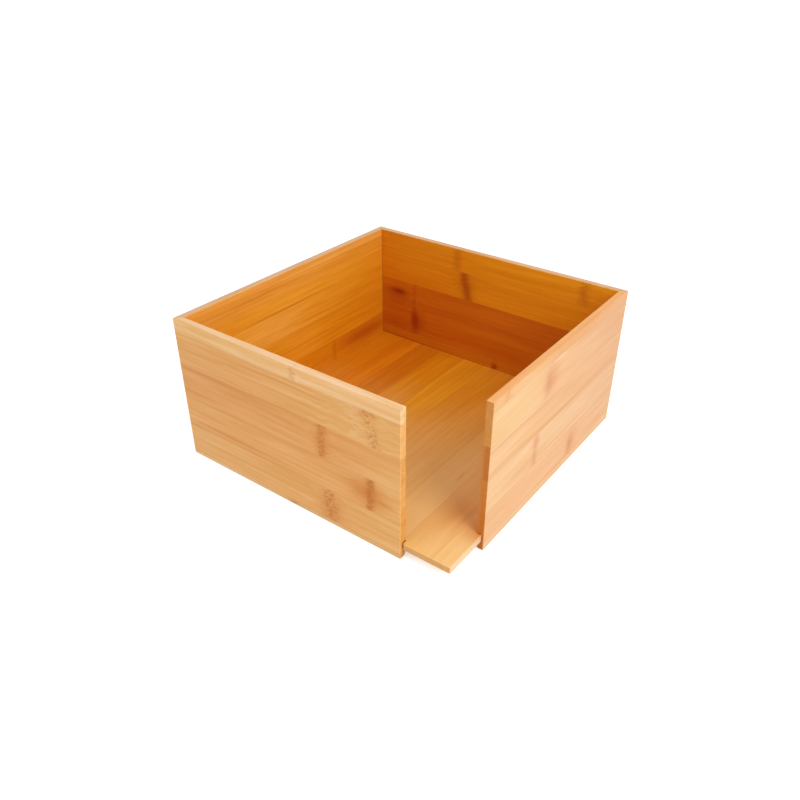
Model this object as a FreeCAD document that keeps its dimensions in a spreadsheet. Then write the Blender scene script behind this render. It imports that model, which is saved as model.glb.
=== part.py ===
import FreeCAD, Part
import Sketcher
import os

# Square napkin box in laminated bamboo, open at the top and at one corner.
#
# Frame: +Z is up, and the origin is the middle of the footprint, on the plane that the box stands on.
# The front wall is at -Y and the right wall at +X. The open corner, where fingers reach in for the
# edge of the napkins, lies between them.
#
# Four wall boards, mitred at the three closed corners, stand round a base board. The base is housed
# in a groove inside the walls, and an ear of it fills the open corner. Every board is glued up, edge
# to edge, from strips of bamboo, and each strip is a part of its own.

Vector = FreeCAD.Vector
doc = FreeCAD.newDocument("napkin_box")

# ---------------------------------------------------------------------------------------------
# Driving dimensions, in mm
# ---------------------------------------------------------------------------------------------
SIZES = [
    ("box_width", 186, "outside, along X"),
    ("box_depth", 186, "outside, along Y"),
    ("box_height", 90.5, "from the foot to the rim"),
    ("wall_thickness", 4.5, "all four wall boards"),
    ("gap_front", 30.5, "how far the front wall stops short of the open corner"),
    ("gap_right", 30.5, "how far the right wall stops short of the open corner"),
    ("edge_round", 0.5, "easing of the rim, the outer corners, the wall ends and the outer foot"),
    ("foot_round", 2, "easing of the inner edge of the foot"),
    ("base_lift", 5.8, "underside of the base, above the foot"),
    ("base_thickness", 4.3, "base board, and the height of its groove"),
    ("groove_depth", 2.5, "groove for the base, into the wall"),
    ("groove_end_clearance", 0.2, "between the base's edge and the bottom of the groove"),
    ("ear_inset", 1.2, "how far the ear's edges stay behind the outer faces of the walls"),
    ("ear_clearance", 0.2, "between the ear and the wall ends"),
    ("ear_corner_round", 1.5, "the ear's upright corner beside the front wall"),
    ("ear_round", 0.6, "easing of the ear's other edges"),
    ("housing_setback", 4, "how far the housed edge stops short of each wall end"),
    ("front_foot_strip", 3, "lowest strip of the front wall"),
    ("front_rim_strip", 8, "highest strip of the front wall"),
    ("right_foot_strip", 5, "lowest strip of the right wall"),
    ("right_rim_strip", 5, "highest strip of the right wall"),
    ("back_foot_strip", 17, "lowest strip of the back wall"),
    ("back_rim_strip", 15.5, "highest strip of the back wall"),
    ("left_foot_strip", 5.5, "lowest strip of the left wall"),
    ("left_rim_strip", 5, "highest strip of the left wall"),
    ("base_left_strip", 20.3, "first strip of the base, with the wall beside it"),
    ("base_right_strip", 12.1, "last strip of the base, with the wall beside it"),
    ("saw_margin", 6, "how far the solids that part the boards reach past them"),
]

sheet = doc.addObject("Spreadsheet::Sheet", "sizes")
for row, (alias, value, note) in enumerate(SIZES, start=1):
    sheet.set("A%d" % row, alias)
    sheet.set("B%d" % row, str(value))
    sheet.set("C%d" % row, note)
    sheet.setAlias("B%d" % row, alias)
doc.recompute()


def size(alias):
    """A driving dimension, as a number."""
    return float(sheet.get(alias))


# ---------------------------------------------------------------------------------------------
# Sketches and bodies
# ---------------------------------------------------------------------------------------------
def new_body(name):
    body = doc.addObject("PartDesign::Body", name)
    body.Label = name
    return body


def plan_sketch(body, name, corners, level):
    """A closed outline of straight sides, seen from above, at a height above the foot.

    Each corner is a pair of expressions for X and Y, and is held at that distance from the origin.
    """
    sketch = body.newObject("Sketcher::SketchObject", name)
    plane = [item for item in body.Origin.OriginFeatures if item.Role == "XY_Plane"][0]
    sketch.AttachmentSupport = (plane, [""])
    sketch.MapMode = "FlatFace"
    sketch.setExpression("AttachmentOffset.Base.z", level)
    points = [Vector(sheet_value(x), sheet_value(y), 0) for x, y in corners]
    count = len(points)
    for index in range(count):
        sketch.addGeometry(Part.LineSegment(points[index], points[(index + 1) % count]), False)
    for index in range(count):
        sketch.addConstraint(Sketcher.Constraint("Coincident", index, 2, (index + 1) % count, 1))
    origin, start = (-1, 1), 1
    for index, (x, y) in enumerate(corners):
        point = points[index]
        for kind, place, expression in (("DistanceX", point.x, x), ("DistanceY", point.y, y)):
            made = sketch.addConstraint(Sketcher.Constraint(kind, *origin, index, start, place))
            sketch.setExpression("Constraints[%d]" % made, expression)
    return sketch


def sheet_value(expression):
    """What an expression on the sheet comes to, as a number."""
    return float(sheet.evalExpression(expression))


def edges_where(shape, wanted):
    """Names of the edges of a shape that pass a test on their bounding box."""
    numbered = enumerate(shape.Edges, start=1)
    return ["Edge%d" % number for number, edge in numbered if wanted(edge.BoundBox)]


def ease(body, name, wanted, radius):
    """Round the edges of a body's last feature that pass a test."""
    doc.recompute()
    last = body.Tip
    fillet = body.newObject("PartDesign::Fillet", name)
    fillet.Base = (last, edges_where(last.Shape, wanted))
    fillet.setExpression("Radius", radius)
    return fillet


def near(value, target):
    return abs(value - target) < 1e-4


# Outer and inner faces of the walls, as expressions
LEFT, RIGHT = "-sizes.box_width / 2", "sizes.box_width / 2"
FRONT, BACK = "-sizes.box_depth / 2", "sizes.box_depth / 2"
WALL = "sizes.wall_thickness"
INNER_LEFT, INNER_RIGHT = LEFT + " + " + WALL, RIGHT + " - " + WALL
INNER_FRONT, INNER_BACK = FRONT + " + " + WALL, BACK + " - " + WALL
FRONT_WALL_END = RIGHT + " - sizes.gap_front"
RIGHT_WALL_END = FRONT + " + sizes.gap_right"

# ---------------------------------------------------------------------------------------------
# The four walls, as one ring with its corner open
# ---------------------------------------------------------------------------------------------
walls = new_body("walls")
ring = plan_sketch(walls, "ring_outline", [
    (LEFT, FRONT), (FRONT_WALL_END, FRONT), (FRONT_WALL_END, INNER_FRONT), (INNER_LEFT, INNER_FRONT),
    (INNER_LEFT, INNER_BACK), (INNER_RIGHT, INNER_BACK), (INNER_RIGHT, RIGHT_WALL_END),
    (RIGHT, RIGHT_WALL_END), (RIGHT, BACK), (LEFT, BACK),
], "0 mm")
ring_pad = walls.newObject("PartDesign::Pad", "ring")
ring_pad.Profile = ring
ring_pad.setExpression("Length", "sizes.box_height")

half_width = size("box_width") / 2
half_depth = size("box_depth") / 2
inner_x = half_width - size("wall_thickness")
inner_y = half_depth - size("wall_thickness")
front_wall_end = half_width - size("gap_front")
right_wall_end = size("gap_right") - half_depth


def level_at(box, height):
    return near(box.ZMin, height) and near(box.ZMax, height)


def in_upright_plane(box, x_places, y_places):
    """Whether an edge lies in one of the upright planes at these places along X or along Y."""
    in_x = near(box.XLength, 0) and any(near(box.XMin, x) for x in x_places)
    in_y = near(box.YLength, 0) and any(near(box.YMin, y) for y in y_places)
    return in_x or in_y


def inner_foot_edge(box):
    return level_at(box, 0) and max(box.XLength, box.YLength) > size("wall_thickness") and (
        in_upright_plane(box, (-inner_x, inner_x), (-inner_y, inner_y)))


def eased_edge(box):
    """The rim, the outer edge of the foot, the wall ends and the three outer corners."""
    if level_at(box, size("box_height")):
        return True
    if near(box.XLength, 0) and near(box.YLength, 0):
        return not (near(abs(box.XMin), inner_x) and near(abs(box.YMin), inner_y))
    outside = in_upright_plane(box, (-half_width, half_width), (-half_depth, half_depth))
    return level_at(box, 0) and (outside or in_upright_plane(box, (front_wall_end,), (right_wall_end,)))


ease(walls, "eased_foot", inner_foot_edge, "sizes.foot_round")
ease(walls, "eased_edges", eased_edge, "sizes.edge_round")

# The groove for the base, cut into the inner faces and run out through both wall ends
GROOVE = "sizes.groove_depth"
groove = plan_sketch(walls, "groove_outline", [
    (INNER_LEFT + " - " + GROOVE, INNER_FRONT + " - " + GROOVE),
    (INNER_RIGHT + " + " + GROOVE, INNER_FRONT + " - " + GROOVE),
    (INNER_RIGHT + " + " + GROOVE, INNER_BACK + " + " + GROOVE),
    (INNER_LEFT + " - " + GROOVE, INNER_BACK + " + " + GROOVE),
], "sizes.base_lift")
groove_cut = walls.newObject("PartDesign::Pocket", "groove")
groove_cut.Profile = groove
groove_cut.Reversed = True
groove_cut.setExpression("Length", "sizes.base_thickness")

# ---------------------------------------------------------------------------------------------
# The base, with its housed edges and the ear at the open corner
# ---------------------------------------------------------------------------------------------
base = new_body("base")
TONGUE = "(sizes.groove_depth - sizes.groove_end_clearance)"
TONGUE_LEFT, TONGUE_RIGHT = INNER_LEFT + " - " + TONGUE, INNER_RIGHT + " + " + TONGUE
TONGUE_FRONT, TONGUE_BACK = INNER_FRONT + " - " + TONGUE, INNER_BACK + " + " + TONGUE
EAR_LEFT = FRONT_WALL_END + " + sizes.ear_clearance"
EAR_BACK = RIGHT_WALL_END + " - sizes.ear_clearance"
EAR_FRONT, EAR_RIGHT = FRONT + " + sizes.ear_inset", RIGHT + " - sizes.ear_inset"
HOUSED_TO_X = FRONT_WALL_END + " - sizes.housing_setback"
HOUSED_TO_Y = RIGHT_WALL_END + " + sizes.housing_setback"
base_outline = plan_sketch(base, "base_outline", [
    (TONGUE_LEFT, TONGUE_FRONT), (HOUSED_TO_X, TONGUE_FRONT), (HOUSED_TO_X, INNER_FRONT),
    (EAR_LEFT, INNER_FRONT), (EAR_LEFT, EAR_FRONT), (EAR_RIGHT, EAR_FRONT), (EAR_RIGHT, EAR_BACK),
    (INNER_RIGHT, EAR_BACK), (INNER_RIGHT, HOUSED_TO_Y), (TONGUE_RIGHT, HOUSED_TO_Y),
    (TONGUE_RIGHT, TONGUE_BACK), (TONGUE_LEFT, TONGUE_BACK),
], "sizes.base_lift")
base_pad = base.newObject("PartDesign::Pad", "base_board")
base_pad.Profile = base_outline
base_pad.setExpression("Length", "sizes.base_thickness")

ear_left = front_wall_end + size("ear_clearance")
ear_right = half_width - size("ear_inset")
ear_front = -half_depth + size("ear_inset")


def corner_beside_front_wall(box):
    """The upright edge where the ear's front face meets the gap beside the front wall."""
    upright = near(box.XLength, 0) and near(box.YLength, 0)
    return upright and near(box.XMin, ear_left) and near(box.YMin, ear_front)


def outer_ear_edge(box):
    """The edges of the ear's two outer faces: the level ones and the other upright ones."""
    on_front = near(box.YMin, ear_front) and near(box.YMax, ear_front)
    on_right = near(box.XMin, ear_right) and near(box.XMax, ear_right)
    level = near(box.ZLength, 0)
    return on_right or (on_front and level)


ease(base, "eased_ear_corner", corner_beside_front_wall, "sizes.ear_corner_round")
ease(base, "eased_ear", outer_ear_edge, "sizes.ear_round")
doc.recompute()

# ---------------------------------------------------------------------------------------------
# The strips: each board is parted at its glue lines, and the walls also at their mitres
# ---------------------------------------------------------------------------------------------
MARGIN = "sizes.saw_margin"

# The whole strips of each board, counted up from the foot, or from the left in the base. They lie
# between two edge strips and share evenly what those leave.
WHOLE_STRIPS = {
    "front": ("second", "third", "fourth", "fifth"),
    "right": ("second", "third", "fourth", "fifth"),
    "back": ("second", "third", "fourth"),
    "left": ("second", "third", "fourth", "fifth"),
    "base": ("second", "third", "fourth", "fifth", "sixth", "seventh", "eighth", "ninth"),
}


def strip_limits(board, extent, first, last):
    """The name, lower limit and upper limit of each strip of a board, in order."""
    names = (first,) + WHOLE_STRIPS[board] + (last,)
    extent = "sizes." + extent
    first_width = "sizes.%s_%s_strip" % (board, first)
    last_width = "sizes.%s_%s_strip" % (board, last)
    whole = len(WHOLE_STRIPS[board])
    width = "(%s - %s - %s) / %d" % (extent, first_width, last_width, whole)
    lines = ["%s + %d * %s" % (first_width, number, width) for number in range(whole + 1)]
    lows = ["-" + MARGIN] + lines
    highs = lines + ["%s + %s" % (extent, MARGIN)]
    return list(zip(names, lows, highs))


def strip(name, board, saw):
    """The piece of a board that lies inside a sawing solid."""
    piece = doc.addObject("Part::Common", name)
    piece.Label = name
    piece.Base = board
    piece.Tool = saw
    return piece


def mitred_slab(name, length, depth, quarter, low, high):
    """A slab round one wall, between two heights, with its ends on the mitres.

    It is drawn round the front wall and turned about Z, by quarters, to the wall that it is for, so
    length is the outside of the box along the wall, and depth the outside across it.
    """
    slab = doc.addObject("Part::Wedge", name)
    outer_end = "sizes.%s / 2 + %s" % (length, MARGIN)
    inner_end = "sizes.%s / 2 - %s - %s" % (length, WALL, MARGIN)
    slab.setExpression("Ymin", "-sizes.%s / 2 - %s" % (depth, MARGIN))
    slab.setExpression("Ymax", "-sizes.%s / 2 + %s + %s" % (depth, WALL, MARGIN))
    slab.setExpression("Xmin", "-(%s)" % outer_end)
    slab.setExpression("Xmax", outer_end)
    slab.setExpression("X2min", "-(%s)" % inner_end)
    slab.setExpression("X2max", inner_end)
    for alias in ("Zmin", "Z2min"):
        slab.setExpression(alias, low)
    for alias in ("Zmax", "Z2max"):
        slab.setExpression(alias, high)
    slab.Placement = FreeCAD.Placement(Vector(), FreeCAD.Rotation(Vector(0, 0, 1), quarter * 90))
    return slab


def base_slab(name, low, high):
    """A slab through the whole base, between two distances from the left face of the box."""
    slab = doc.addObject("Part::Box", name)
    slab.setExpression("Length", "(%s) - (%s)" % (high, low))
    slab.setExpression("Width", "sizes.box_depth")
    slab.setExpression("Height", "sizes.base_thickness + 2 * " + MARGIN)
    slab.setExpression("Placement.Base.x", LEFT + " + " + low)
    slab.setExpression("Placement.Base.y", FRONT)
    slab.setExpression("Placement.Base.z", "sizes.base_lift - " + MARGIN)
    return slab


# The walls, a quarter turn apart, each with the box's outside along it and across it
WALLS = (
    ("front", "box_width", "box_depth"),
    ("right", "box_depth", "box_width"),
    ("back", "box_width", "box_depth"),
    ("left", "box_depth", "box_width"),
)

strips = []
for quarter, (wall, length, depth) in enumerate(WALLS):
    for place, low, high in strip_limits(wall, "box_height", "foot", "rim"):
        slab = mitred_slab("%s_%s_slab" % (wall, place), length, depth, quarter, low, high)
        strips.append(strip("%s_wall_%s_strip" % (wall, place), walls, slab))

for place, low, high in strip_limits("base", "box_width", "left", "right"):
    slab = base_slab("base_%s_slab" % place, low, high)
    strips.append(strip("base_%s_strip" % place, base, slab))

doc.recompute()

# ---------------------------------------------------------------------------------------------
# Checks and export
# ---------------------------------------------------------------------------------------------
for item in doc.Objects:
    if "Invalid" in item.State or "Error" in item.State:
        raise RuntimeError("%s did not recompute" % item.Label)
for piece in strips:
    if piece.Shape.isNull() or not piece.Shape.isValid() or len(piece.Shape.Solids) != 1:
        raise RuntimeError("%s is not one sound solid" % piece.Label)

boards_volume = walls.Shape.Volume + base.Shape.Volume
strips_volume = sum(piece.Shape.Volume for piece in strips)
if abs(boards_volume - strips_volume) > 1e-6 * boards_volume:
    raise RuntimeError("the strips do not make up the boards")

os.makedirs("parts", exist_ok=True)
for piece in strips:
    piece.Shape.exportStep("parts/%s.step" % piece.Label)
    print("%-24s %9.1f mm3" % (piece.Label, piece.Shape.Volume))
print("%d strips, %.0f mm3 of bamboo" % (len(strips), strips_volume))
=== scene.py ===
import math
from collections import namedtuple

import bmesh
import bpy
from mathutils import Matrix, Vector


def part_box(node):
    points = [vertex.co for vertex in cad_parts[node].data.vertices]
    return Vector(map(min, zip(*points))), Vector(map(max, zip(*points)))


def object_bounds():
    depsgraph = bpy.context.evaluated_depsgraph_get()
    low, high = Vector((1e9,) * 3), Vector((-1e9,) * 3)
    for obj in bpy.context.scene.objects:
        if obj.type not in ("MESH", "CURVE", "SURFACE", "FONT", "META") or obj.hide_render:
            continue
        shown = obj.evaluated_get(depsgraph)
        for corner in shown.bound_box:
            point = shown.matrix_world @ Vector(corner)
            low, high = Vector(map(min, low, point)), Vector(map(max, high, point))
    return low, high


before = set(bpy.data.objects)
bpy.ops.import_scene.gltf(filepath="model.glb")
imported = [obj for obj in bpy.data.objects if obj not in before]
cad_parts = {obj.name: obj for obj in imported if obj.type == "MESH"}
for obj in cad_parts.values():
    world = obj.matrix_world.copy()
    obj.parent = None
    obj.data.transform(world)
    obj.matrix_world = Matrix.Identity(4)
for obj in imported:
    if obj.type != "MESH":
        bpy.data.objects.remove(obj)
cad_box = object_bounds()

# ---------------------------------------------------------------------------------------------
# Front wall
# A board of six bamboo strips, pressed flat and glued edge to edge, then planed, sanded and given
# a satin lacquer. It is mitred to the left wall, and its other end is cut square at the open corner.
# ---------------------------------------------------------------------------------------------
MM = 1000.0
BOX_LOW = Vector(cad_box[0]) * MM
BOX_SPAN = Vector(cad_box[1]) * MM - BOX_LOW

# Places of the Mix node's colour sockets, which share their names with those for numbers
FIRST_COLOUR = 6
SECOND_COLOUR = 7
MIXED_COLOUR = 2

# How far a seed moves a pattern along X, Y and Z
SEED_STEPS = (1.0, 0.37, 0.71)


class Value:
    """One socket of a finish. Sums on it add Math nodes, and node() adds a node of any kind."""

    def __init__(self, tree, socket=None):
        self.tree = tree
        self.socket = socket

    def node(self, kind, settings=None, sockets=None, output=0):
        made = self.tree.nodes.new(kind)
        for setting, choice in (settings or {}).items():
            setattr(made, setting, choice)
        for name, value in (sockets or {}).items():
            if isinstance(value, Value):
                self.tree.links.new(value.socket, made.inputs[name])
            else:
                made.inputs[name].default_value = value
        return Value(self.tree, made.outputs[output] if made.outputs else None)

    def maths(self, operation, first, second=0.0):
        return self.node("ShaderNodeMath", {"operation": operation}, {0: first, 1: second})

    def __add__(self, other):
        return self.maths("ADD", self, other)

    def __sub__(self, other):
        return self.maths("SUBTRACT", self, other)

    def __rsub__(self, other):
        return self.maths("SUBTRACT", other, self)

    def __mul__(self, other):
        return self.maths("MULTIPLY", self, other)

    def __truediv__(self, other):
        return self.maths("DIVIDE", self, other)

    def __pow__(self, other):
        return self.maths("POWER", self, other)

    def __neg__(self):
        return self.maths("MULTIPLY", self, -1.0)

    def __abs__(self):
        return self.maths("ABSOLUTE", self)

    __radd__ = __add__
    __rmul__ = __mul__

    def lower_of(self, other):
        return self.maths("MINIMUM", self, other)

    def higher_of(self, other):
        return self.maths("MAXIMUM", self, other)

    def ramp(self, start, end):
        """0 up to start, 1 from end on, and an even curve between them."""
        settings = {"interpolation_type": "SMOOTHSTEP"}
        sockets = {"Value": self, "From Min": start, "From Max": end}
        return self.node("ShaderNodeMapRange", settings, sockets)

    def hump(self, reach, power=2.0):
        """1 at 0, fading out over reach to either side: a bell at power 2, flat-topped at 4."""
        return self.maths("EXPONENT", -(abs(self / reach) ** power))

    def tint(self, without, coloured):
        """A colour: without where this value is 0, coloured where it is 1."""
        settings = {"data_type": "RGBA", "clamp_factor": True}
        sockets = {0: self, FIRST_COLOUR: without, SECOND_COLOUR: coloured}
        return self.node("ShaderNodeMix", settings, sockets, MIXED_COLOUR)

    def outputs(self, names):
        """Outputs, by name or place, of the node that this value comes from."""
        found = self.socket.node.outputs
        return [Value(self.tree, found[name]) for name in names]

    def split(self):
        """The three parts of a vector."""
        return self.node("ShaderNodeSeparateXYZ", sockets={"Vector": self}).outputs("XYZ")

    def clouds(self, sizes, seed, detail=2.0, roughness=0.5):
        """Soft noise about 0.5, whose patches measure so many mm along X, Y and Z."""
        mapping = {
            "Vector": self,
            "Location": [seed * step for step in SEED_STEPS],
            "Scale": [1.0 / size for size in sizes],
        }
        mapped = self.node("ShaderNodeMapping", {"vector_type": "POINT"}, mapping)
        noise = {"Vector": mapped, "Scale": 1.0, "Detail": detail, "Roughness": roughness}
        return self.node("ShaderNodeTexNoise", sockets=noise)

    def swing(self, reach):
        """Noise about 0.5 as a swing about 0, by half the reach at most to either side."""
        return (self - 0.5) * reach


def new_finish(name):
    """A material with an empty node tree, and a Value to build its nodes on."""
    finish = bpy.data.materials.new(name)
    finish.use_nodes = True
    finish.node_tree.nodes.clear()
    return finish, Value(finish.node_tree)


def colour(chart, parts=(1.0, 1.0, 1.0)):
    """A colour written as on a paint chart, such as "d9a066", as the shader's own numbers.

    parts makes its red, green and blue stronger or weaker. The numbers are those of the sRGB curve.
    """
    shown = [int(chart[place:place + 2], 16) / 255 for place in (0, 2, 4)]
    linear = [part / 12.92 if part < 0.04045 else ((part + 0.055) / 1.055) ** 2.4 for part in shown]
    return (*[part * strength for part, strength in zip(linear, parts)], 1.0)


# Bamboo under lacquer, from the palest strips to the deepest
CREAM = "f5c28a"
PEACH = "ecbb85"
ROSE = "eab27a"
WHEAT = "e8a85f"
TAN = "e5a158"
GOLD = "f2a92e"
HONEY = "e99b16"
AMBER = "e08e12"
COPPER = "c96b10"

# The marks in it: joints of the cane, spots and dark lines, glue, and arrises that are paler, partly by
# rubbed wear and partly as a painted highlight
KNUCKLE = "bc6606"
RUST = "d86a2a"
EMBER = "96300c"
BLUSH = "d47f28"
GLUE = "9a5a2c"
WORN = "ffdcae"

# How far the fibres stray from a strip's tone: the pale ones, and the dark ones, which are redder
PALE_FIBRES = (1.07, 1.15, 1.38)
DARK_FIBRES = (0.93, 0.85, 0.62)


def fibre_tones(tone):
    """A tone as the pale fibres show it, and as the dark ones do."""
    return colour(tone, PALE_FIBRES), colour(tone, DARK_FIBRES)


def tint_fibres(strength, without, coloured):
    """The two tones of the fibres: those without where the strength is 0, coloured where it is 1."""
    return [strength.tint(*tones) for tones in zip(without, coloured)]


# A mark with no level covers its strip's whole width, and so does one with a rise of WHOLE_WIDTH
MARK_FIELDS = "at reach depth tone level rise lean flecks grained"
Mark = namedtuple("Mark", MARK_FIELDS, defaults=(None, None, 0.0, 0.0, False))
WHOLE_WIDTH = 1000.0


def knuckle(at, reach, depth, flecks=0.5, lean=0.0, tone=KNUCKLE):
    """A joint of the cane, sawn through, in mm from the box's left or front face.

    reach is half its width, depth how dark it is, flecks how broken up it is and lean how far it
    slants over the strip's width.
    """
    return Mark(at, reach, depth, tone, lean=lean, flecks=flecks)


def stain(at, reach, level, rise, depth, flecks=0.0, tone=BLUSH):
    """A long spot in the cane, whose middle is at a level across the board, with a rise to each side."""
    return Mark(at, reach, depth, tone, level, rise, flecks=flecks)


def streak(level, start, end, depth, rise=0.7, tone=BLUSH):
    """A dark line of fibres at a level across the board, from start to end."""
    return Mark((start + end) / 2, (end - start) / 2, depth, tone, level, rise)


def stretch(at, reach, depth, tone, level=0.0, rise=WHOLE_WIDTH):
    """A stretch of the cane that leans to another tone under its grain, over its whole width or less."""
    return Mark(at, reach, depth, tone, level, rise, grained=True)


AXES = "XYZ"


class Strip:
    """Where a strip lies, as nodes of its finish, in mm from the box's lowest corner.

    Its fibres run along one axis, and it is glued to the next strips across another. The seed gives
    it a grain of its own.
    """

    def __init__(self, node, start, run, width, seed):
        self.seed = seed
        self.in_wall = width == "Z"
        self.run_axis, self.width_axis = AXES.index(run), AXES.index(width)
        self.through_axis = 3 - self.run_axis - self.width_axis
        self.low, self.high = [corner * MM - BOX_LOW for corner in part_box(node)]
        self.edge_low, self.edge_high = self.low[self.width_axis], self.high[self.width_axis]
        coordinates = start.node("ShaderNodeTexCoord", output="Object")
        mapping = {"Vector": coordinates, "Scale": (MM, MM, MM), "Location": -BOX_LOW}
        self.place = start.node("ShaderNodeMapping", {"vector_type": "POINT"}, mapping)
        self.parts = self.place.split()
        self.along = self.parts[self.run_axis]
        self.across = self.parts[self.width_axis]
        self.through = self.parts[self.through_axis]

    def pattern(self, vector, shift, length, thickness, **noise):
        """Noise in patches that are long along the fibres. Its shift keeps it apart from the rest."""
        sizes = [thickness, thickness, thickness]
        sizes[self.run_axis] = length
        return vector.clouds(sizes, self.seed + shift, **noise)

    def inner_part(self, start_share, end_share):
        """0 from the outer face of a wall to a share of its thickness, 1 from another inwards."""
        middle = BOX_SPAN[self.through_axis] / 2
        wall = self.high[self.through_axis] - self.low[self.through_axis]
        return (middle - abs(self.through - middle)).ramp(start_share * wall, end_share * wall)

    def inside(self):
        """1 where the tone is deepest: the walls' inner skin, and the base away from the open corner. The
        deepening is painted bounce light and shade, and on the walls it is partly their finish too.
        """
        if self.in_wall:
            # The walls' inner skin takes a deeper tone: partly their finish, partly painted bounce light and
            # shade
            return self.inner_part(start_share=0.86, end_share=0.97)
        # The base deepens away from the open corner as painted bounce light and shade of the box's inside
        from_corner = BOX_SPAN[0] - self.parts[0] + self.parts[1]
        return from_corner.ramp(start=90.0, end=230.0)


def mark_strengths(strip, marks, marked_side, waver):
    """How strongly each mark shows, how much the fibres bend round them, and how rough they are.

    The marks have ragged ends. On the other face of a wall a stretch is gone, and the other marks
    are fainter.
    """
    ragged = strip.pattern(strip.place, shift=11.0, length=60.0, thickness=1.6, detail=1.0).swing(3.0)
    specks = strip.pattern(strip.place, shift=23.0, length=2.2, thickness=1.4).ramp(0.40, 0.60)
    edge_power = 2.6
    other_face = 0.4
    bend_reach = 4.0
    strengths = []
    bend = strip.along * 0.0
    rough_spots = strip.along * 0.0
    for one in marks:
        from_middle = strip.across - (strip.edge_low + strip.edge_high) / 2
        slant = from_middle * (one.lean / (strip.edge_high - strip.edge_low))
        offset = strip.along - one.at - slant - ragged
        held = offset.hump(one.reach, edge_power)
        if one.level is None:
            bend = bend.higher_of(offset.hump(one.reach * bend_reach) * one.depth)
        else:
            held = held * (strip.across - one.level - waver).hump(one.rise)
        broken = 1.0 - (1.0 - specks) * one.flecks
        shown = marked_side if one.grained else other_face + (1.0 - other_face) * marked_side
        strength = held * broken * shown * one.depth
        strengths.append(strength)
        if not one.grained:
            rough_spots = rough_spots.higher_of(strength)
    return strengths, bend, rough_spots * specks


def bent_place(strip, bend, waver):
    """Places for the grain, shifted so that it swells round the knuckles and wavers a little."""
    swell_reach = 13.0
    sway = 0.3
    eddies = strip.pattern(strip.place, shift=31.0, length=6.0, thickness=6.0, detail=0.0)
    shifts = {strip.width_axis: eddies.swing(bend) * swell_reach + waver * sway}
    shift = strip.place.node("ShaderNodeCombineXYZ", sockets=shifts)
    return strip.place.node("ShaderNodeVectorMath", {"operation": "ADD"}, {0: strip.place, 1: shift})


def grain_of(strip, bent, inside, grain):
    """Streaks, fibres and pores, and how deep the tone is, from broad drifts down to the pores."""
    drift = strip.pattern(bent, shift=0.0, length=110.0, thickness=11.0)
    streaks = strip.pattern(bent, shift=3.0, length=60.0, thickness=2.7, detail=4.0, roughness=0.6)
    fibres = strip.pattern(bent, shift=7.0, length=16.0, thickness=0.35)
    pores = strip.pattern(bent, shift=9.0, length=5.0, thickness=0.22, detail=0.0).ramp(0.60, 0.78)
    veins = strip.pattern(bent, shift=17.0, length=45.0, thickness=0.6, detail=1.0).ramp(0.54, 0.70)
    vein_depth = 0.15 + inside * 0.35
    plain_depth = 0.46
    contrast = inside * (1.0 - grain) + grain
    depth = drift.swing(1.3) + streaks.swing(2.5) + fibres.swing(0.6) + pores * 0.12
    depth = (depth + veins * vein_depth) * contrast + plain_depth
    return streaks, fibres, pores, depth


def wood_shade(depth, inside, outer, inner, marks, strengths):
    """The colour of the wood. The stretches take their tone under the grain, the rest lie over it."""
    # Towards the inner tones, which are deeper partly as painted bounce light and shade
    light, deep = tint_fibres(inside, fibre_tones(outer), fibre_tones(inner))
    for strength, one in zip(strengths, marks):
        if one.grained:
            light, deep = tint_fibres(strength, (light, deep), fibre_tones(one.tone))
    shade = depth.tint(light, deep)
    for strength, one in zip(strengths, marks):
        if not one.grained:
            shade = strength.tint(shade, colour(one.tone))
    return shade


def glue_line(distance, end, darkness):
    """Glue by the distance from a joint, in mm: as dark as it gets at the joint, none at end."""
    return (1.0 - distance.ramp(0.1, end)) * darkness


def glue_lines(strip, seams, streaks):
    """Glue along the strip's edges, which the streaks break up, and in the mitres of the walls."""
    low_seam = glue_line(strip.across - strip.edge_low, end=0.7, darkness=seams[0])
    high_seam = glue_line(strip.edge_high - strip.across, end=0.7, darkness=seams[1])
    seam = low_seam.higher_of(high_seam) * (0.4 + streaks * 0.6)
    if strip.in_wall:
        x, y = strip.parts[:2]
        mitre = abs(x - y).lower_of(abs(x + y - BOX_SPAN[0]))
        seam = seam.higher_of(glue_line(mitre, end=0.4, darkness=0.5))
    return seam


def cut_faces(strip, shade, depth, ends, end_edge_highlight, rim):
    """The shade with its sawn ends, its upper edge and its worn arrises, and where it is sawn.

    Sawn ends drink more lacquer than planed faces. The arrises are paler, partly as rubbed wear and partly
    as a painted highlight along their rounding.
    """
    sawn_share = 0.9
    rim_share = 0.8
    wear_and_highlight_share = 0.15
    facing = strip.place.node("ShaderNodeNewGeometry", output="Normal")
    normals = [abs(part) for part in facing.split()]
    sawn = normals[strip.run_axis].ramp(0.75, 0.95)
    end_tone = depth.tint(*fibre_tones(ends))
    # A painted highlight on the inner third of the sawn end, along its eased inner edge
    if end_edge_highlight:
        edge_highlight_mask = strip.inner_part(start_share=0.58, end_share=0.80)
        end_tone = edge_highlight_mask.tint(end_tone, colour(end_edge_highlight))
    shade = (sawn * sawn_share).tint(shade, end_tone)
    if rim:
        upper_edge = normals[2].ramp(0.5, 0.9)
        shade = (upper_edge * rim_share).tint(shade, depth.tint(*fibre_tones(rim)))
    # Paler arrises: partly rubbed wear, partly a painted highlight along their rounding
    flat = normals[0].higher_of(normals[1]).higher_of(normals[2])
    wear_and_highlight = 1.0 - flat.ramp(0.80, 0.97)
    return (wear_and_highlight * wear_and_highlight_share).tint(shade, colour(WORN)), sawn


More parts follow.
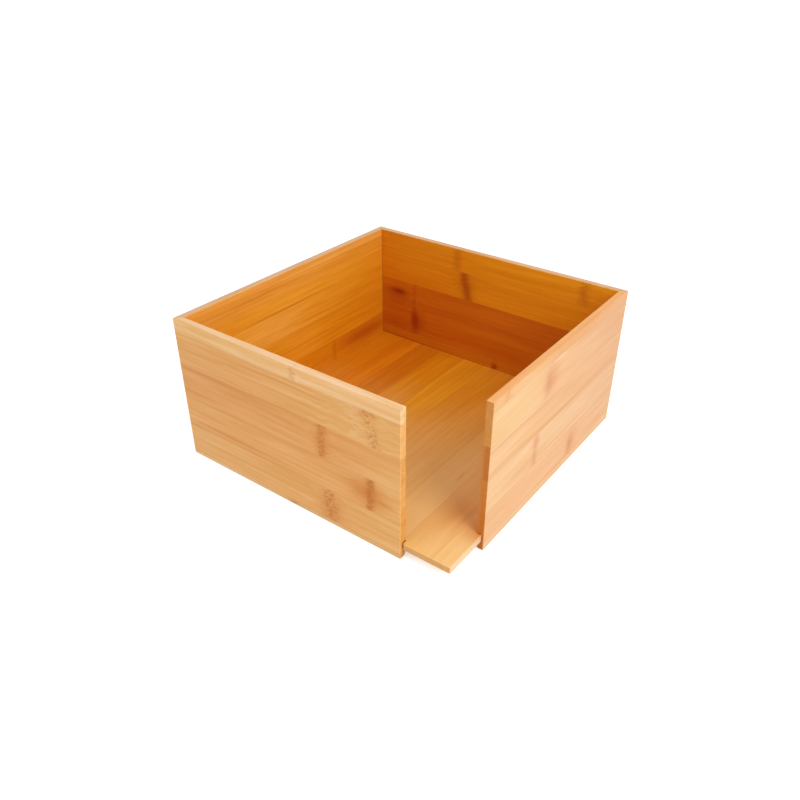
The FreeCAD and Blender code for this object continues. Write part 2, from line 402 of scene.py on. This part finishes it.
def bamboo(node, run, width, outer, inner, seed, marks=(), seams=(0.12, 0.12), ends=TAN, rim=None,
           grain=1.0, end_edge_highlight=None, marked="outer"):
    """Give a strip its own finish: solid bamboo with its fibres along run, glued across width.

    outer and inner are its tones towards the outside and the inside of the box, the deeper inner
    tones partly painted bounce light and shade. ends is that of its sawn ends, the tone for their
    inner third a painted highlight along their eased inner edge, and rim that of its upper edge. seams
    is how dark the glue is at its lower and its upper edge, grain how strongly its fibres show outside,
    and marked the face of a wall on which its marks are strongest. Lengths are in mm.
    """
    finish, start = new_finish(node + "_bamboo")
    strip = Strip(node, start, run, width, seed)
    inside = strip.inside()
    marked_side = 1.0
    if strip.in_wall:
        marked_side = inside if marked == "inner" else 1.0 - inside
    waver = strip.pattern(strip.place, shift=13.0, length=70.0, thickness=20.0, detail=1.0).swing(3.0)
    strengths, bend, rough = mark_strengths(strip, marks, marked_side, waver)
    bent = bent_place(strip, bend, waver)
    streaks, fibres, pores, depth = grain_of(strip, bent, inside, grain)
    seam = glue_lines(strip, seams, streaks)
    shade = wood_shade(depth, inside, outer, inner, marks, strengths)
    shade = seam.tint(shade, colour(GLUE))
    shade, sawn = cut_faces(strip, shade, depth, ends, end_edge_highlight, rim)

    # Satin lacquer, which the fibres just show through and which sinks into the pores and the glue
    height = fibres * 0.5 - pores * 0.6 + rough * 0.8 - seam * 0.6
    relief = {"Strength": 0.35, "Distance": 0.00006, "Height": height}
    lacquer = {
        "Base Color": shade,
        "Roughness": 0.40 + (1.0 - fibres) * 0.10 + sawn * 0.15,
        "Specular IOR Level": 0.22,
        "Coat Weight": 0.10,
        "Coat Roughness": 0.30,
        "Normal": start.node("ShaderNodeBump", sockets=relief),
    }
    surface = start.node("ShaderNodeBsdfPrincipled", sockets=lacquer)
    start.node("ShaderNodeOutputMaterial", sockets={"Surface": surface})
    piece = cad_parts[node]
    piece.data.materials.clear()
    piece.data.materials.append(finish)


STRAW = "e2b374"
BISCUIT = "e8ad64"
PALER = "ecb36b"
FRONT_END = "e9a754"
APRICOT = "f6bb76"
RIM_FACE = "f4c183"
RIM_END = "f4cf97"
RIM_TOP = "f8ca98"
front = {"run": "X", "width": "Z", "inner": HONEY}
bamboo("front_wall_foot_strip", outer=STRAW, seed=1.0, ends=FRONT_END, marks=[
    knuckle(at=82, reach=3.4, depth=0.5),
], **front)
bamboo("front_wall_second_strip", outer=BISCUIT, seed=2.0, ends=FRONT_END, marks=[
    stretch(at=156, reach=16, depth=0.9, tone=PALER),
    stain(at=110, reach=9, level=10, rise=9, depth=0.45),
    knuckle(at=109.5, reach=5.0, depth=0.6, flecks=0.85),
    streak(level=12, start=5, end=90, depth=0.3),
    streak(level=22, start=0, end=90, depth=0.5, rise=1.0),
], **front)
bamboo("front_wall_third_strip", outer=WHEAT, seed=3.0, ends=FRONT_END, marks=[
    stretch(at=156, reach=18, depth=0.9, tone=PALER),
    stain(at=135, reach=11.5, level=33, rise=6.5, depth=0.8),
    knuckle(at=136.7, reach=2.8, depth=0.85, flecks=0.45),
    stain(at=146, reach=6, level=31, rise=1.2, depth=0.6),
    streak(level=26, start=0, end=90, depth=0.5),
    streak(level=41.6, start=5, end=80, depth=0.6),
], **front)
bamboo("front_wall_fourth_strip", outer=TAN, seed=4.0, ends=FRONT_END, marks=[
    stretch(at=156, reach=20, depth=0.9, tone=PALER, level=48, rise=8),
    stain(at=106, reach=6, level=52, rise=10, depth=0.4),
    knuckle(at=105.5, reach=2.7, depth=0.68, flecks=0.6),
    stain(at=114, reach=7, level=52, rise=1.0, depth=0.5),
    streak(level=60.8, start=-10, end=66, depth=0.6, rise=1.9),
], **front)
bamboo("front_wall_fifth_strip", outer=WHEAT, seed=5.0, seams=(0.12, 0.1), ends=APRICOT, marks=[
    stretch(at=130, reach=48, depth=0.9, tone=PALER),
    stretch(at=60, reach=90, depth=0.35, tone=PALER, level=80, rise=4),
    knuckle(at=131, reach=9, depth=0.45, flecks=1.0, tone=CREAM),
    knuckle(at=138, reach=3.6, depth=0.55, flecks=1.0, lean=-5),
    stain(at=136, reach=6, level=80, rise=2.6, depth=0.7, flecks=0.5),
    streak(level=78, start=28, end=112, depth=0.6, rise=0.9),
    streak(level=81, start=60, end=112, depth=0.4),
    streak(level=71, start=50, end=112, depth=0.4),
    streak(level=64, start=0, end=60, depth=0.4),
], **front)
bamboo("front_wall_rim_strip", outer=RIM_FACE, seed=6.0, seams=(0.1, 0.0), ends=RIM_END, rim=RIM_TOP, marks=[
    knuckle(at=88.7, reach=1.9, depth=0.35, flecks=0.6),
], **front)

# ---------------------------------------------------------------------------------------------
# Right wall
# Six strips of the palest bamboo, which deepen away from the open corner; near it the upper strips
# carry a painted sheen. They are glued edge to edge and sawn square at that corner, and their other
# ends are mitred to the back wall.
# ---------------------------------------------------------------------------------------------
LOWER_END = "c66f0b"
THIRD_END = "c9741a"
RIGHT_END = "c1690d"
UPPER_END = "d38b39"
# A painted highlight for the eased inner edge of the right wall's sawn ends
END_EDGE_HIGHLIGHT = "cb7c30"
# A painted sheen: the upper strips paler near the open corner
NEAR_SHEEN = "f0c286"
FAR = "e3a56c"
RIGHT_RIM_FACE = "e8a868"
RIGHT_RIM_TOP = "f7b067"
right = {"run": "Y", "width": "Z", "inner": HONEY, "grain": 0.6}
bamboo("right_wall_foot_strip", outer=PEACH, seed=12.0, ends=LOWER_END, end_edge_highlight=END_EDGE_HIGHLIGHT, **right)
bamboo("right_wall_second_strip", outer=ROSE, seed=13.0, ends=LOWER_END, end_edge_highlight=END_EDGE_HIGHLIGHT, marks=[
    stain(at=129, reach=8.0, level=14, rise=10, depth=0.25, tone=RUST),
    stain(at=127.5, reach=3.6, level=12.5, rise=7, depth=0.5, flecks=0.3, tone=KNUCKLE),
], **right)
bamboo("right_wall_third_strip", outer=PEACH, seed=14.0, ends=THIRD_END, end_edge_highlight=END_EDGE_HIGHLIGHT, marks=[
    stretch(at=45, reach=42, depth=0.3, tone=NEAR_SHEEN),
    stretch(at=186, reach=40, depth=0.5, tone=FAR),
    knuckle(at=80.3, reach=2.6, depth=0.36, flecks=0.3, tone=KNUCKLE),
    stain(at=80, reach=6.0, level=40.5, rise=3.0, depth=0.26, tone=RUST),
    stain(at=68, reach=18, level=30, rise=2.6, depth=0.22, tone=RUST),
    streak(level=28, start=90, end=150, depth=0.35),
], **right)
bamboo("right_wall_fourth_strip", outer=ROSE, seed=15.0, ends=RIGHT_END, end_edge_highlight=END_EDGE_HIGHLIGHT, marks=[
    stretch(at=45, reach=42, depth=0.5, tone=NEAR_SHEEN),
    stretch(at=186, reach=40, depth=0.6, tone=FAR),
    streak(level=61.5, start=20, end=105, depth=0.4, rise=1.3),
    streak(level=47.5, start=20, end=186, depth=0.4, rise=1.8),
], **right)
bamboo("right_wall_fifth_strip", outer=ROSE, seed=16.0, ends=UPPER_END, marks=[
    stretch(at=45, reach=42, depth=1.0, tone=NEAR_SHEEN),
    stretch(at=186, reach=42, depth=1.0, tone=FAR),
    stain(at=90.5, reach=8.0, level=74.5, rise=9.0, depth=0.38, tone=RUST),
    stain(at=88, reach=3.8, level=73, rise=9, depth=0.3, flecks=0.3, tone=KNUCKLE),
    stain(at=99, reach=8, level=84.2, rise=0.9, depth=0.5, tone=WORN),
], **right)
bamboo("right_wall_rim_strip", outer=RIGHT_RIM_FACE, seed=17.0, ends=UPPER_END, rim=RIGHT_RIM_TOP, marks=[
    stretch(at=45, reach=42, depth=0.45, tone=NEAR_SHEEN),
    stretch(at=186, reach=40, depth=0.4, tone=FAR),
    knuckle(at=43, reach=3.6, depth=0.42, flecks=0.7, tone=RUST),
], **right)

# ---------------------------------------------------------------------------------------------
# Back wall
# Five strips of bamboo, glued edge to edge. The lower three are the deepest inside and have the
# boldest knuckles; the deep inner tones are partly painted bounce light and shade. Both ends are
# mitred and glued.
# ---------------------------------------------------------------------------------------------
BACK_FOOT = "cc7610"
BACK_CORNER = "d88015"
BACK_RIM = "e3b07e"
# Deeper low by the left corner
CORNER_DEEP = "b34c0c"
back = {"run": "X", "width": "Z", "marked": "inner"}
bamboo("back_wall_foot_strip", outer=TAN, inner=BACK_FOOT, seed=21.0, marks=[
    stain(at=102.5, reach=2.2, level=12.5, rise=3.4, depth=0.75, tone=EMBER),
    # A painted contact shadow where the base meets the wall's inner foot, fainter on the outer face
    streak(level=10.4, start=-40, end=150, depth=0.6, rise=0.6, tone=EMBER),
], **back)
bamboo("back_wall_second_strip", outer=TAN, inner=COPPER, seed=22.0, marks=[
    stretch(at=4, reach=9, depth=0.35, tone=BACK_CORNER),
    stretch(at=16, reach=16, depth=0.4, tone=CORNER_DEEP, level=20, rise=5),
    knuckle(at=34, reach=3.0, depth=0.35, flecks=0.3, tone=EMBER),
    stain(at=34, reach=3.0, level=27.5, rise=6.5, depth=0.75, tone=EMBER),
    stain(at=37, reach=6, level=27, rise=7, depth=0.35, tone=EMBER),
], **back)
bamboo("back_wall_third_strip", outer=TAN, inner=COPPER, seed=23.0, marks=[
    stretch(at=3, reach=11, depth=0.65, tone=BACK_CORNER),
    knuckle(at=33.5, reach=1.6, depth=0.4, flecks=0.7, tone=EMBER),
    stain(at=20, reach=5.5, level=47, rise=2.0, depth=0.95, tone=EMBER),
    stain(at=17, reach=11, level=46, rise=3.0, depth=0.5, tone=EMBER),
    stretch(at=16, reach=14, depth=0.4, tone=CORNER_DEEP, level=40, rise=4),
    streak(level=42, start=40, end=140, depth=0.2, rise=4.0, tone=EMBER),
], **back)
bamboo("back_wall_fourth_strip", outer=WHEAT, inner=AMBER, seed=24.0, marks=[
    stretch(at=4, reach=9, depth=0.4, tone=HONEY),
    stretch(at=30, reach=50, depth=0.15, tone=COPPER),
    stain(at=76, reach=7, level=65, rise=9, depth=0.3, tone=EMBER),
    knuckle(at=76, reach=3.4, depth=0.6, flecks=0.1, lean=-4.5, tone=EMBER),
], **back)
bamboo("back_wall_rim_strip", outer=WHEAT, inner=AMBER, seed=25.0, rim=BACK_RIM, marks=[
    stretch(at=25, reach=45, depth=0.15, tone=COPPER),
    stretch(at=135, reach=65, depth=1.0, tone=HONEY, level=90, rise=8),
    knuckle(at=68.5, reach=3.2, depth=0.3, flecks=0.2, tone=EMBER),
    knuckle(at=160.5, reach=3.6, depth=0.38, flecks=0.6, tone=EMBER),
], **back)

# ---------------------------------------------------------------------------------------------
# Left wall
# Six strips of bamboo with long straight fibres, which deepen inside towards the back and the bottom,
# partly by their own tones and partly as painted shade and bounce light. They are glued edge to
# edge, and both ends of the board are mitred and glued.
# ---------------------------------------------------------------------------------------------
SUNNY = "f9ba52"
MELLOW = "f4ac4a"
# Darker low towards the back corner: partly the strip's own tone, partly painted shade
DEEP_TONE_AND_SHADE = "be5e0d"
LEFT_RIM_FACE = "f9b24e"
LEFT_RIM = "e2b58a"
left = {"run": "Y", "width": "Z", "outer": WHEAT, "marked": "inner"}
bamboo("left_wall_foot_strip", inner=HONEY, seed=31.0, **left)
bamboo("left_wall_second_strip", inner=AMBER, seed=32.0, marks=[
    knuckle(at=125.5, reach=2.0, depth=0.45, flecks=0.4),
    # Darker low towards the back corner: partly the strip's own tone, partly painted shade
    stain(at=159, reach=26, level=18.5, rise=7, depth=0.92, tone=DEEP_TONE_AND_SHADE),
], **left)
bamboo("left_wall_third_strip", inner=HONEY, seed=33.0, marks=[
    stretch(at=90, reach=26, depth=0.6, tone=GOLD),
    stretch(at=186, reach=50, depth=0.5, tone=AMBER),
    streak(level=35.5, start=72, end=133, depth=0.5, rise=0.5, tone=COPPER),
], **left)
bamboo("left_wall_fourth_strip", inner=GOLD, seed=34.0, marks=[
    stretch(at=68, reach=30, depth=0.7, tone=SUNNY),
    stretch(at=186, reach=60, depth=0.9, tone=HONEY),
    stretch(at=110, reach=200, depth=0.5, tone=HONEY, level=45.5, rise=4),
    streak(level=46.5, start=80, end=186, depth=0.4, rise=0.5, tone=COPPER),
    streak(level=51.5, start=93, end=132, depth=0.4, rise=0.5, tone=COPPER),
], **left)
bamboo("left_wall_fifth_strip", inner=GOLD, seed=35.0, marks=[
    stretch(at=60, reach=300, depth=0.7, tone=MELLOW, level=82, rise=6),
    stretch(at=186, reach=55, depth=0.5, tone=HONEY),
    streak(level=66.2, start=48, end=122, depth=0.8, rise=0.5, tone=COPPER),
    streak(level=80, start=20, end=90, depth=0.3, rise=0.5, tone=COPPER),
    streak(level=83, start=10, end=102, depth=0.4, rise=0.5, tone=COPPER),
], **left)
bamboo("left_wall_rim_strip", inner=LEFT_RIM_FACE, seed=36.0, rim=LEFT_RIM, **left)

# ---------------------------------------------------------------------------------------------
# Base
# Ten strips of bamboo that run from front to back, housed in the groove of the walls. The ear that
# fills the open corner is the front end of its last two strips. Their tones deepen away from that
# corner as painted bounce light and shade, and a painted shadow lies beside the right wall's open end.
# ---------------------------------------------------------------------------------------------
SAND = "f0bb6b"
# The base strips' far tones, deepened as painted bounce light and shade
FOURTH_FAR_SHADED = "dc8a0c"
FIRST_FAR_SHADED = "dc850c"
SECOND_FAR_SHADED = "dc800c"
THIRD_FAR_SHADED = "d17709"
FIFTH_FAR_SHADED = "e69a1b"
SIXTH_FAR_SHADED = "e2921f"
SEVENTH_FAR_SHADED = "ea9b2b"
EIGHTH_FAR_SHADED = "e8a240"
EIGHTH_NEAR = "f2c072"
NINTH_NEAR = "f1b969"
EAR = "fac67d"
EAR_ROOT = "f3bb6c"
EAR_EDGE = "dca262"
# A painted highlight for the ear's right side, which faces the key lamp
EAR_SIDE_HIGHLIGHT = "fbe0bb"
base = {"run": "Y", "width": "X", "ends": EAR_EDGE, "grain": 0.4}
bamboo("base_left_strip", outer=SAND, inner=FIRST_FAR_SHADED, seed=41.0, marks=[
    stretch(at=106, reach=18, depth=0.12, tone=SAND),
], **base)
bamboo("base_second_strip", outer=SAND, inner=SECOND_FAR_SHADED, seed=42.0, marks=[
    stretch(at=106, reach=18, depth=0.1, tone=SAND),
    knuckle(at=60, reach=3.0, depth=0.4),
    streak(level=38.8, start=100, end=186, depth=0.3, rise=0.5, tone=GOLD),
], **base)
bamboo("base_third_strip", outer=SAND, inner=THIRD_FAR_SHADED, seed=53.0, marks=[
    stretch(at=106, reach=20, depth=0.12, tone=SAND),
    streak(level=45.5, start=100, end=186, depth=0.4, rise=1.0, tone=COPPER),
    streak(level=56, start=100, end=186, depth=0.4, rise=0.9, tone=COPPER),
], **base)
bamboo("base_fourth_strip", outer=SAND, inner=FOURTH_FAR_SHADED, seed=44.0, marks=[
    stretch(at=90, reach=32, depth=0.35, tone=SAND),
    stain(at=178, reach=3, level=66, rise=3.5, depth=0.4, tone=COPPER),
], **base)
bamboo("base_fifth_strip", outer=SAND, inner=FIFTH_FAR_SHADED, seed=45.0, marks=[
    stretch(at=70, reach=20, depth=0.35, tone=SAND),
], **base)
bamboo("base_sixth_strip", outer=SAND, inner=SIXTH_FAR_SHADED, seed=46.0, marks=[
    knuckle(at=40, reach=3.0, depth=0.4),
], **base)
bamboo("base_seventh_strip", outer=SAND, inner=SEVENTH_FAR_SHADED, seed=47.0, **base)
bamboo("base_eighth_strip", outer=EIGHTH_NEAR, inner=EIGHTH_FAR_SHADED, seed=48.0, marks=[
    stain(at=65, reach=5, level=149.5, rise=0.6, depth=0.4),
], **base)
bamboo("base_ninth_strip", outer=NINTH_NEAR, inner=AMBER, seed=49.0, marks=[
    # A painted shadow of the right wall's open end on the base
    stretch(at=37, reach=14, depth=0.5, tone=BLUSH, level=168, rise=13),
    stretch(at=8, reach=22, depth=0.7, tone=EAR, level=174, rise=9),
], **base)
bamboo("base_right_strip", outer=EAR, inner=AMBER, seed=57.0, marks=[
    # A painted shadow of the right wall's open end on the base
    stretch(at=34.5, reach=11, depth=0.75, tone=BLUSH, level=182, rise=14),
    stretch(at=8, reach=22, depth=0.5, tone=EAR_ROOT, level=174, rise=5),
    # A painted highlight along the ear's right side, which faces the key lamp
    streak(level=185.4, start=-60, end=60, depth=1.0, rise=1.1, tone=EAR_SIDE_HIGHLIGHT),
], **base)

# ---------------------------------------------------------------------------------------------
# Studio
# A white sweep that runs out of sight, with one broad lamp from the right, a weak one from the
# front left, and white all round. It isn't part of the box.
# ---------------------------------------------------------------------------------------------
FLOOR_HALF = 6.0
FLOOR_WHITE = (0.9, 0.9, 0.9, 1.0)
FLOOR_GLOW = 0.55
ROOM_WHITE = (1.0, 1.0, 1.0, 1.0)
ROOM_LIGHT = 0.66


def seen(start):
    """1 for rays from the camera, straight or by way of a gloss or glass, and 0 for the rest."""
    rays = start.node("ShaderNodeLightPath")
    camera, gloss, glass = rays.outputs(("Is Camera Ray", "Is Glossy Ray", "Is Transmission Ray"))
    return camera.higher_of(gloss).higher_of(glass)


sweep = bmesh.new()
bmesh.ops.create_grid(sweep, x_segments=1, y_segments=1, size=FLOOR_HALF)
floor = bpy.data.objects.new("studio_floor", bpy.data.meshes.new("studio_floor"))
sweep.to_mesh(floor.data)
sweep.free()
bpy.context.scene.collection.objects.link(floor)

floor_finish, start = new_finish("studio_white")
matt = start.node("ShaderNodeBsdfDiffuse", sockets={"Color": FLOOR_WHITE})
glow = start.node("ShaderNodeEmission", sockets={"Strength": seen(start) * FLOOR_GLOW})
surface = start.node("ShaderNodeAddShader", sockets={0: matt, 1: glow})
start.node("ShaderNodeOutputMaterial", sockets={"Surface": surface})
floor.data.materials.append(floor_finish)

room = bpy.data.worlds.new("studio_room")
room.use_nodes = True
room.node_tree.nodes.clear()
start = Value(room.node_tree)
strength = ROOM_LIGHT + seen(start) * (1.0 - ROOM_LIGHT)
air = start.node("ShaderNodeBackground", sockets={"Color": ROOM_WHITE, "Strength": strength})
start.node("ShaderNodeOutputWorld", sockets={"Surface": air})
bpy.context.scene.world = room


def lamp(name, bearing, height, distance, width, power):
    """A square lamp that faces the box, at a bearing from +X towards +Y and a height, in degrees.

    Its distance and width are in m, and its power in W.
    """
    made = bpy.data.lights.new(name, "AREA")
    made.shape = "SQUARE"
    made.size = width
    made.energy = power
    holder = bpy.data.objects.new(name, made)
    turn = Matrix.Rotation(math.radians(bearing), 4, "Z")
    tilt = Matrix.Rotation(math.radians(90.0 - height), 4, "Y")
    holder.matrix_world = turn @ tilt @ Matrix.Translation((0.0, 0.0, distance))
    bpy.context.scene.collection.objects.link(holder)


lamp("key_lamp", bearing=-17.0, height=42.0, distance=1.0, width=0.45, power=3.5)
lamp("fill_lamp", bearing=-105.0, height=40.0, distance=1.2, width=0.8, power=1.2)

# ---------------------------------------------------------------------------------------------
# Camera
# It stands off the open corner and looks down into the box. Its lens is shifted a little, so that
# its axis meets the frame just right of the middle and just below it.
# ---------------------------------------------------------------------------------------------
TURN = math.radians(35.8122)
RISE = math.radians(32.5061)
ROLL = math.radians(0.5107)
AIM = Vector((0.02452, -0.03506, 0.04959))
STAND_OFF = 0.42074
SENSOR = 36.0
IMAGE_PIXELS = 800.0
FOCAL_PIXELS = 763.27
CENTRE_X, CENTRE_Y = 407.69, 404.57
MIDDLE = 0.5
NEAREST = 0.01

camera = bpy.data.objects.new("camera", bpy.data.cameras.new("camera"))
camera.data.sensor_width = SENSOR
camera.data.lens = SENSOR * FOCAL_PIXELS / IMAGE_PIXELS
camera.data.shift_x = MIDDLE - CENTRE_X / IMAGE_PIXELS
camera.data.shift_y = CENTRE_Y / IMAGE_PIXELS - MIDDLE
camera.data.clip_start = NEAREST
stance = Matrix.Rotation(TURN, 4, "Z") @ Matrix.Rotation(math.pi / 2 - RISE, 4, "X")
stance = stance @ Matrix.Rotation(ROLL, 4, "Z")
camera.matrix_world = Matrix.Translation(AIM) @ stance @ Matrix.Translation((0.0, 0.0, STAND_OFF))
bpy.context.scene.collection.objects.link(camera)
bpy.context.scene.camera = camera
bpy.context.scene.view_settings.view_transform = "Standard"
